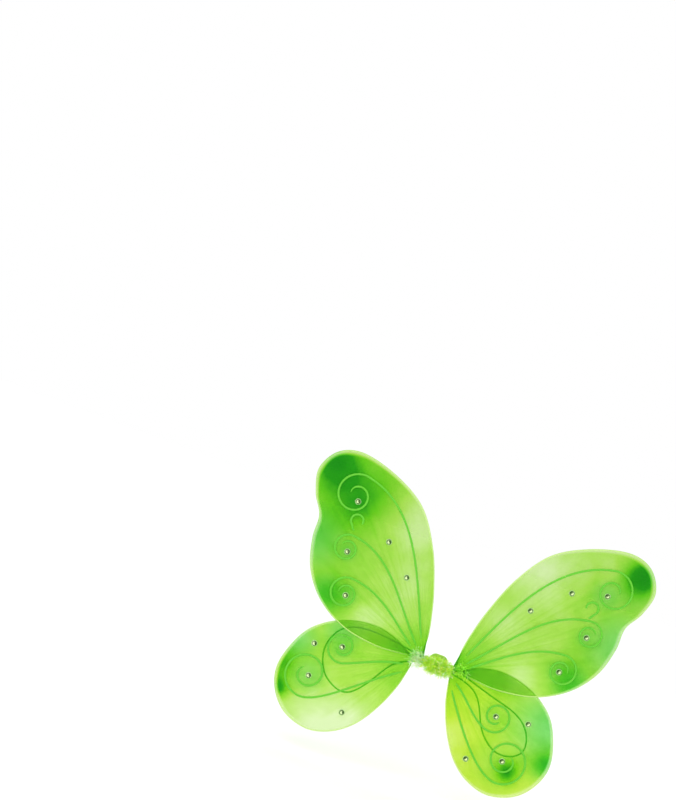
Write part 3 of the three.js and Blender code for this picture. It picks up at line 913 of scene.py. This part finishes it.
def dye_of(wing, places):
    """Depth of dye and coolness of green at drawn places on a wing."""
    root = np.array(root_of(wing))
    at = np.array([(p.x, p.y) for p in places])
    out = np.hypot(at[:, 0] - root[0], at[:, 1] - root[1])
    root_dye = wing["tier"]["root_dye"]
    depth = 0.36 + root_dye * np.exp(-((out / 38) ** 2)) + 0.12 * np.exp(-((out / 90) ** 2))
    cool = np.maximum(wing["cool"], 0.2 * np.exp(-((out / 16) ** 2)))
    bleeds = [(*wing["gems"][vine["gem"]], 1.1 * vine["radii"][0], 0.09, wing["cool"] + 0.3)
              for vine in wing["tier"]["vines"] if "gem" in vine]
    for x, z, radius, added, green in wing["dye"] + bleeds:
        spot = place_on(wing, (x, z))
        near = np.exp(-(((at[:, 0] - spot.x) ** 2 + (at[:, 1] - spot.y) ** 2) / radius**2))
        depth = depth + added * near
        cool = np.maximum(cool, green * near)
    return depth, cool


def sleeve_point(kind, v, share, point, neck, outward, root):
    """Where one point of a sleeve lies: its drawn place and depth, with its reach from neck to
    wire, its layer from front to back, and how near it is to where the layers part."""
    if kind == "rim":
        angle = math.pi * v
        place = point + outward * RIM_RADIUS * math.sin(angle)
        y = -RIM_RADIUS * math.cos(angle)
        reach, layer = 1.0, v
    else:
        place = neck.lerp(point, v)
        swell = RIM_RADIUS + (SLEEVE_HALF - RIM_RADIUS) * math.sin(math.pi * v)
        pull = math.exp(-((place - root).length / GATHER_FADE)) * math.sin(math.pi * v)
        fold = math.sin(share * 2 * math.pi * 19 + 1.3 * math.sin(share * 23))
        fold += 0.5 * math.sin(share * 2 * math.pi * 43)
        y = (-1 if kind == "front" else 1) * swell + GATHER_DEPTH * pull * fold
        reach, layer = v, (0.0 if kind == "front" else 1.0)
    edge_gap = (point - neck).length * (1 - reach)
    rim = math.exp(-edge_gap / RIM_FADE) * abs(math.cos(math.pi * layer))
    return place, y, reach, layer, rim


def nylon_sleeve(wing, material):
    """A stocking drawn over the wire: a front layer, the turn round the wire, and a back layer,
    run from the neck outwards and gathered into the root wrap."""
    tier = wing["tier"]
    root = root_of(wing)
    line = wire_line(wing, 240)
    directions = tangents(line)
    rows = [("front", j / SLEEVE_ROWS) for j in range(SLEEVE_ROWS)]
    rows += [("rim", k / RIM_STEPS) for k in range(RIM_STEPS + 1)]
    rows += [("back", j / SLEEVE_ROWS) for j in reversed(range(SLEEVE_ROWS))]
    verts, kept, gathers = [], [], []
    for i, point in enumerate(line):
        share = i / (len(line) - 1)
        outward = Vector((-directions[i].y, directions[i].x))
        neck_z = tier["legs_z"] + LEG_SPACING * 0.8 * (0.5 - share)
        neck = Vector((root.x - NECK_CLEARANCE - TUCK, neck_z))
        for kind, v in rows:
            made = sleeve_point(kind, v, share, point, neck, outward, root)
            place, y, reach, layer, rim = made
            verts.append(set_in(wing, place, tier["plane"] + y))
            kept.append(made)
            gathers.append((share * 60 + layer * 7.3, reach * 1.6))
    # the neck is open, so no face joins the last row to the first
    faces = [f[::-wing["side"]] for f in skin_faces(len(line), len(rows)) if f[1] > f[0]]
    piece = mesh_piece("sleeve", verts, faces, [material])
    drawn, _, reaches, layers, rims = zip(*kept)
    depth, cool = dye_of(wing, drawn)
    looks = dict(dye_depth=depth, cool=cool, reach=reaches, rim=rims, layer=layers)
    for name, values in looks.items():
        put_attribute(piece.data, name, values)
    put_uv(piece.data, "gathers", [gathers[k] for face in faces for k in face])
    on_wing(wing, piece, "nylon_sleeve", ["nylon"])
    outline = outline_of(wing, 160)


def vine_line(wing, vine):
    """The drawn line of one vine: a stem that bows out from the root, then its curl."""
    if "centre" in vine:
        centre = place_on(wing, vine["centre"])
    else:
        centre = place_on(wing, wing["gems"][vine["gem"]]) + Vector(vine["shift"])
    outer, inner = vine["radii"]
    start = place_on(wing, vine["start"])
    meet = centre + turned(vine["turn_from"]) * outer
    arrival = turned(vine["turn_from"] + 90 * math.copysign(1, vine["sweep"]))
    length = (meet - start).length
    out_handle = start + turned(vine["heading"] + wing["turn"]) * (HANDLE_OUT * length)
    in_handle = meet - arrival * (vine.get("arrive", HANDLE_IN) * length)
    line = bezier(start, out_handle, in_handle, meet, 40)
    curl_steps = abs(vine["sweep"]) // 5
    for k in range(1, curl_steps + 1):
        share = k / curl_steps
        radius = outer + (inner - outer) * share
        line.append(centre + turned(vine["turn_from"] + vine["sweep"] * share) * radius)
    return evenly(line, max(12, round(length_of(line) / 1.5)))


def glitter_vines(wing, tree, flakes, glue, glitter, seed):
    """Every vine of a wing as one piece of glue beads and glitter flakes."""
    tier = wing["tier"]
    depth_y = tier["plane"] - SLEEVE_HALF - BEAD_WIDTH / 2 + BEAD_SINK
    points, edges = [], []
    for vine in tier["vines"]:
        line = vine_line(wing, vine)
        first = len(points)
        points += [set_in(wing, p, depth_y) for p in line]
        edges += [(k, k + 1) for k in range(first, len(points) - 1)]
    piece = grown(mesh_piece("vine_lines", points, edges=edges), tree, {
        "Bead width": BEAD_WIDTH * MM, "Unevenness": 0.22, "Flakes": flakes,
        "Flakes per square metre": 1.1e6, "Seed": seed, "Glue": glue, "Glitter": glitter,
    })
    nodes = [vine["name"] for vine in tier["vines"]]
    on_wing(wing, piece, "glitter_vines", nodes)


def flake_shapes():
    """Flat six-sided flakes of two widths, lying across their own Z axis."""
    shapes = []
    for number, radius in enumerate((0.16, 0.23)):
        rim = [turned(60 * k) * radius * MM for k in range(6)]
        points = [(p.x, p.y, 0.02 * MM) for p in rim]
        shapes.append(mesh_piece(f"flake_{number}", points, [tuple(range(6))], smooth=False))
    return put_aside("flakes", shapes)


def facets(first, spin, chance):
    """A stone's faces, each with a painted brightness that stands in for its reflection. Those turned
    towards the light get painted highlights, the rest painted dark facets.
    """
    low, mid, top, back = (first + STONE_SIDES * ring for ring in (1, 2, 3, 4))
    made = []
    for k in range(STONE_SIDES):
        m = (k + 1) % STONE_SIDES
        # lit is how far a facet faces the light; it sets the painted highlights
        lit = 0.5 + 0.5 * math.cos(math.radians(spin + FACET * k + 50))
        made.append(((first + k, first + m, low + m, low + k), chance.uniform(0, 0.1)))
        made.append(((low + k, low + m, mid + k), chance.uniform(0, 0.3)))
        made.append(((mid + k, low + m, mid + m), chance.uniform(0, 0.25)))
        made.append(((mid + k, mid + m, top + m), lit * chance.uniform(0, 0.9)))
        made.append(((mid + k, top + m, top + k), lit * chance.uniform(0, 1)))
        # painted glint: the table is painted full bright where it faces the light
        made.append(((top + k, top + m, back + 1), 1.0 if lit > 0.35 else chance.uniform(0, 0.3)))
        made.append(((first + k, back, first + m), 0.5))
    return made


def rhinestones(wing, stone, glue, chance):
    """Flat-backed stones with a table and two rows of facets, each in a small puddle of glue."""
    cloth_y = wing["tier"]["plane"] - SLEEVE_HALF
    back_y = cloth_y - 0.15
    verts, made = [], []
    for share in wing["gems"]:
        centre = place_on(wing, share)
        spin = chance.uniform(0, 30)
        made += [(*facet, 0) for facet in facets(len(verts), spin, chance)]
        for radius, height, shift in STONE_RINGS:
            for k in range(STONE_SIDES):
                p = centre + turned(spin + FACET * (k + shift)) * GEM_RADIUS * radius
                verts.append(set_in(wing, p, back_y - GEM_HEIGHT * height))
        verts += [set_in(wing, centre, back_y), set_in(wing, centre, back_y - GEM_HEIGHT)]
        for face in skin_faces(len(GLUE_RINGS), GLUE_SIDES, closed=True):
            made.append((tuple(len(verts) + n for n in face), 0.5, 1))
        for radius, height in GLUE_RINGS:
            for k in range(GLUE_SIDES):
                wobble = 1 + 0.05 * math.sin(k * 2.1 + spin)
                p = centre + turned(360 / GLUE_SIDES * k) * GEM_RADIUS * radius * wobble
                verts.append(set_in(wing, p, cloth_y - height))
    faces, tones, kinds = zip(*made)
    faces = [face[::wing["side"]] for face in faces]
    piece = mesh_piece("stones", verts, faces, [stone, glue], smooth=False)
    piece.data.polygons.foreach_set("material_index", kinds)
    piece.data.polygons.foreach_set("use_smooth", [k == 1 for k in kinds])
    # tone carries the painted reflections and painted highlights of the facets
    put_attribute(piece.data, "tone", tones, "FACE")
    nodes = [f"gem_{k + 1}" for k in range(len(wing["gems"]))]
    on_wing(wing, piece, "rhinestones", nodes)


def thread_wrap(wing, material):
    """Thread wound tightly round both wire legs, a little proud where it ends."""
    tier = wing["tier"]
    start_x = root_of(wing).x - NECK_CLEARANCE - WRAP_LENGTH
    turns, per_turn, thread = 10, 20, 0.3
    points = []
    for k in range(turns * per_turn + 1):
        share = k / (turns * per_turn)
        angle = 2 * math.pi * k / per_turn
        swell = 1 + 0.12 * math.sin(math.pi * share) + 0.04 * math.sin(angle * 0.37)
        deep = 1.75 * swell
        high = 2.9 * swell
        x = start_x + thread + share * (WRAP_LENGTH - 2 * thread)
        wide = math.copysign(abs(math.cos(angle)) ** 0.7, math.cos(angle))
        tall = math.copysign(abs(math.sin(angle)) ** 0.7, math.sin(angle))
        point = Vector((x, tier["legs_z"] + high * tall))
        points.append(set_in(wing, point, tier["plane"] + deep * wide))
    piece = tube(points, thread * MM, 6, material)
    on_wing(wing, piece, "thread_wrap", ["root_wrap"])


# ---- centre


def wound_binding(material):
    """Tape wound in overlapping turns round the bundle of wire ends."""
    half, radius, end_radius, end = 10.5, 5.55, 4.2, 2.0
    turn_width, lap = 2.6, 0.32
    steps, sides = 84, 48
    rings = []
    for i in range(steps + 1):
        x = -half + 2 * half * i / steps
        shoulder = min(1.0, (half - abs(x)) / end)
        body = end_radius + (radius - lap - end_radius) * math.sin(shoulder * math.pi / 2)
        ring = []
        for k in range(sides):
            angle = 2 * math.pi * k / sides
            phase = (x / turn_width + k / sides) % 1.0
            edge = lap * (phase**0.6 if phase < 0.93 else (1 - phase) / 0.07)
            ripple = 0.08 * math.sin(angle * 5 + x)
            r = body + edge + ripple
            ring.append(Vector((x, BINDING_Y + r * math.cos(angle), r * math.sin(angle))) * MM)
        rings.append(ring)
    finished(shell(rings, material), "centre_tape_binding", "centre",
             ["centre_binding"])


def hinge_tape(side, label, material):
    """The soft tape that joins the centre to a side's wings."""
    inner_x, outer_x, steps, sides = 8.6, 19.0, 26, 56
    rings = []
    for i in range(steps + 1):
        share = i / steps
        x = inner_x + (outer_x - inner_x) * share
        waist = 1 - 0.12 * math.sin(math.pi * min(1, share * 1.25))
        deep = (6.1 + 0.5 * share) * waist
        high = (6.0 + 1.1 * share) * waist
        if i in (0, steps):
            deep, high = deep - 0.9, high - 0.9
        ring = []
        for k in range(sides):
            angle = 2 * math.pi * k / sides * side
            pleat = 0.32 * math.sin(angle * 11 + 0.5 * math.sin(x)) * math.sin(math.pi * share)
            out = Vector((math.cos(angle) * (deep + pleat), math.sin(angle) * (high + pleat)))
            ring.append(Vector((side * x, BINDING_Y + out.x, out.y)) * MM)
        rings.append(ring)
    piece = finished(shell(rings, material), label + "_hinge_tape", None)
    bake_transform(piece)


def rounded_outline(half_x, half_z, corner, steps):
    """A rounded rectangle about the origin, anticlockwise in X and Z."""
    points = []
    for cx, cz, first in ((1, -1, -90), (1, 1, 0), (-1, 1, 90), (-1, -1, 180)):
        middle = Vector((cx * (half_x - corner), cz * (half_z - corner)))
        points += [middle + turned(first + 90 * k / steps) * corner for k in range(steps + 1)]
    return points


def felt_pad(material):
    """Two felt faces over thin foam, pressed flat on the back and quilted down near the edge."""
    rings = []
    for inset, height in PAD_PROFILE:
        rim = rounded_outline(PAD_HALF_X - inset, PAD_HALF_Z - inset, PAD_CORNER - inset, 12)
        rim = evenly(rim + rim[:1], 120)[:-1]
        rings.append([Vector((p.x, -height, p.y)) * MM for p in rim])
    piece = finished(shell(rings, material), "back_pad_felt", "centre", ["back_pad"])


def pad_stitches(label, height, tree, stitch, thread):
    """A row of stitches all round one face of the pad."""
    sizes = [size - STITCH_INSET for size in (PAD_HALF_X, PAD_HALF_Z, PAD_CORNER)]
    points = [Vector((p.x, -height, p.y)) * MM for p in rounded_outline(*sizes, 10)]
    edges = [(k, (k + 1) % len(points)) for k in range(len(points))]
    row = grown(mesh_piece("stitch_line", points, edges=edges), tree, {
        "Step": STITCH_STEP * MM, "Stitch": stitch, "Finish": thread,
    })
    finished(row, f"back_pad_stitches_{label}", "centre")


def stitch_shape(material):
    """One sunk stitch, along X, thicker in its middle than at its ends."""
    points = [Vector(((k / 6 - 0.5) * 1.5, 0, 0)) * MM for k in range(7)]
    radii = [(0.1 + 0.13 * math.sin(math.pi * k / 6)) * MM for k in range(7)]
    stitch = tube(points, radii, 6, material)
    put_aside("stitch_shelf", [stitch])
    return stitch


def plume_shapes(chance, label, length, barbs, width):
    """Tufts of down: a bent quill with thin barbs all round it, standing on their own Z axis."""
    shapes = []
    for number in range(5):
        bend = turned(chance.uniform(0, 360)) * chance.uniform(0.15, 0.5) * length
        verts, faces = [], []

        def on_quill(share):
            lift = length * (share - 0.12 * share * share)
            return Vector((bend.x * share * share, bend.y * share * share, lift))

        for k in range(barbs):
            share = 0.12 + 0.86 * k / barbs
            start = on_quill(share)
            around = turned(chance.uniform(0, 360))
            reach = length * chance.uniform(0.35, 0.6) * (1 - 0.45 * share)
            tip = start + Vector((around.x, around.y, chance.uniform(0.35, 1.1))) * reach * 0.75
            wide = Vector((-around.y, around.x, 0)) * width / 2
            middle = start.lerp(tip, 0.55) + Vector((0, 0, 0.08 * reach))
            first = len(verts)
            verts += [start - wide, start + wide, middle + wide * 0.7, middle - wide * 0.7, tip]
            faces += [(first, first + 1, first + 2, first + 3), (first + 3, first + 2, first + 4)]
        first = len(verts)
        for share in (0, 0.5, 1.0):
            spot = on_quill(share)
            verts += [spot - Vector((width * 0.6, 0, 0)), spot + Vector((width * 0.6, 0, 0))]
        for n in (first, first + 2):
            faces.append((n, n + 1, n + 3, n + 2))
        points = [v * MM for v in verts]
        shapes.append(mesh_piece(f"{label}_{number}", points, faces))
    return put_aside(label, shapes)


def ball_of(half, centre, keep, rings=16, sides=28):
    """The part of an ellipsoid's skin to plant plumes on: the faces whose middle keep allows."""
    verts = []
    for i in range(rings + 1):
        tilt = math.pi * (i + 0.5) / (rings + 1) - math.pi / 2
        for k in range(sides):
            angle = 2 * math.pi * k / sides
            p = Vector((math.cos(tilt) * math.cos(angle) * half[0],
                        math.cos(tilt) * math.sin(angle) * half[1], math.sin(tilt) * half[2]))
            verts.append((p + Vector(centre)) * MM)
    faces = [face for face in skin_faces(rings + 1, sides)
             if keep(sum((verts[n] for n in face), Vector()) / 4)]
    return mesh_piece("planting", verts, faces)


def planted(skin, scatter, plumes, density, smallest, largest, lean, seed, material):
    """Down planted all over a skin."""
    return grown(skin, scatter, {
        "Pieces": plumes, "Per square metre": density, "Smallest": smallest, "Largest": largest,
        "Lean": lean, "Seed": seed, "Finish": material,
    })


def centre_marabou(side, label, scatter, plumes, material):
    """One side's half of the puff over the binding."""
    skin = ball_of((20, 3.0, 8.5), (-1.0, -21.0, -1.0), keep=lambda p: p.x * side > 0)
    puff = planted(skin, scatter, plumes, 7e5, 0.6, 1.1, 1.0, 5 + side, material)
    stands_for = ["centre_fluff"] if side < 0 else []
    finished(puff, label + "_centre_marabou", "centre", stands_for)
    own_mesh(puff)


def root_marabou(side, label, scatter, wisps, material, tall, lowered, out, density):
    """A tuft in front of one side's wing roots. tall is half its height, and lowered and out
    are how far it sits below and outside its node's middle."""
    low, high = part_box(label + "_root_fluff")
    middle = (low + high) / 2 / MM
    centre = Vector((middle.x + out, middle.y + 3.0, middle.z - lowered))
    skin = ball_of((8.5, 1.0, tall), centre, keep=lambda p: p.y < centre.y * MM)
    tuft = planted(skin, scatter, wisps, density, 0.45, 1.0, 1.2, 9 + side, material)
    finished(tuft, label + "_root_marabou", label + "_wings",
             [label + "_root_fluff"])


def elastic_loop(label, route, material):
    """A shoulder loop of round elastic, both its ends tied to the centre."""
    line = smooth_line([Vector((x, ELASTIC_Y, z)) * MM for x, z in route], 12)
    line = evenly(line, round(length_of(line) / (1.3 * MM)))
    cord = tube(line, ELASTIC_DIAMETER / 2 * MM, 12, material)
    finished(cord, label + "_elastic_loop", "centre",
             [label + "_shoulder_elastic"])


def elastic_knot(side, label, material, steps=90):
    """The trefoil knot that ties a loop's two ends."""
    loop = []
    for k in range(steps):
        t = 2 * math.pi * k / steps
        x = 7 + 1.15 * (math.sin(t) + 2 * math.sin(2 * t)) * 0.95
        z = 1.25 * (math.cos(t) - 2 * math.cos(2 * t))
        y = -4.45 - 0.62 * math.sin(3 * t)
        loop.append(Vector((side * x, y, z)) * MM)
    knot = tube(loop, 1.0 * MM, 10, material, closed=True)
    finished(knot, label + "_knot", "centre", [label + "_elastic_knot"])


def main():
    chance = random.Random(11)
    sides = ((-1, "left"), (1, "right"))
    place_camera()
    light_the_room()
    lay_floor(cad_box[0].z - FLOOR_GAP)

    elastic = braided_elastic()
    elastic_loop("left", LEFT_ELASTIC, elastic)
    elastic_loop("right", RIGHT_ELASTIC, elastic)

    nylon = dyed_nylon()
    coating = wire_coating()
    thread = wound_thread()
    stone, stone_glue = rhinestone(), gem_glue()
    glue, glitter = glitter_glue(), glitter_flakes()
    scatter = scatter_tree()
    lines = glue_line_tree(scatter)
    flakes = flake_shapes()
    for number, wing in enumerate(WINGS):
        coated_wire(wing, coating)
        nylon_sleeve(wing, nylon)
        glitter_vines(wing, lines, flakes, glue, glitter, 20 + number)
        rhinestones(wing, stone, stone_glue, chance)
        thread_wrap(wing, thread)

    tape = binding_tape()
    wound_binding(tape)
    for side, label in sides:
        hinge_tape(side, label, tape)
    felt_pad(felt())
    stitch = stitch_shape(thread)
    stitching = stitch_tree()
    for label, height in (("front", 1.98), ("back", 0.02)):
        pad_stitches(label, height, stitching, stitch, thread)
    for side, label in sides:
        elastic_knot(side, label, elastic)

    pale = paint(0.88, 1.0, 0.62)
    bright = marabou("marabou_bright", paint(0.42, 0.97, 0.004), paint(0.82, 1.0, 0.08), pale, 0.12)
    frosted = marabou("marabou_frosted", paint(0.45, 0.95, 0.2), paint(0.8, 1.0, 0.5), pale, 0.4)
    leafy = marabou("marabou_leafy", paint(0.25, 0.86, 0.006), paint(0.6, 1.0, 0.05), pale, 0.08)
    plumes = plume_shapes(chance, "plume", 7.5, 15, 0.24)
    wisps = plume_shapes(chance, "wisp", 9.5, 10, 0.26)
    centre_marabou(-1, "left", scatter, plumes, bright)
    root_marabou(-1, "left", scatter, wisps, frosted, tall=9.5, lowered=6.0, out=0.0, density=8e5)
    centre_marabou(1, "right", scatter, plumes, bright)
    root_marabou(1, "right", scatter, wisps, leafy, tall=6.0, lowered=1.5, out=1.8, density=5e5)


main()
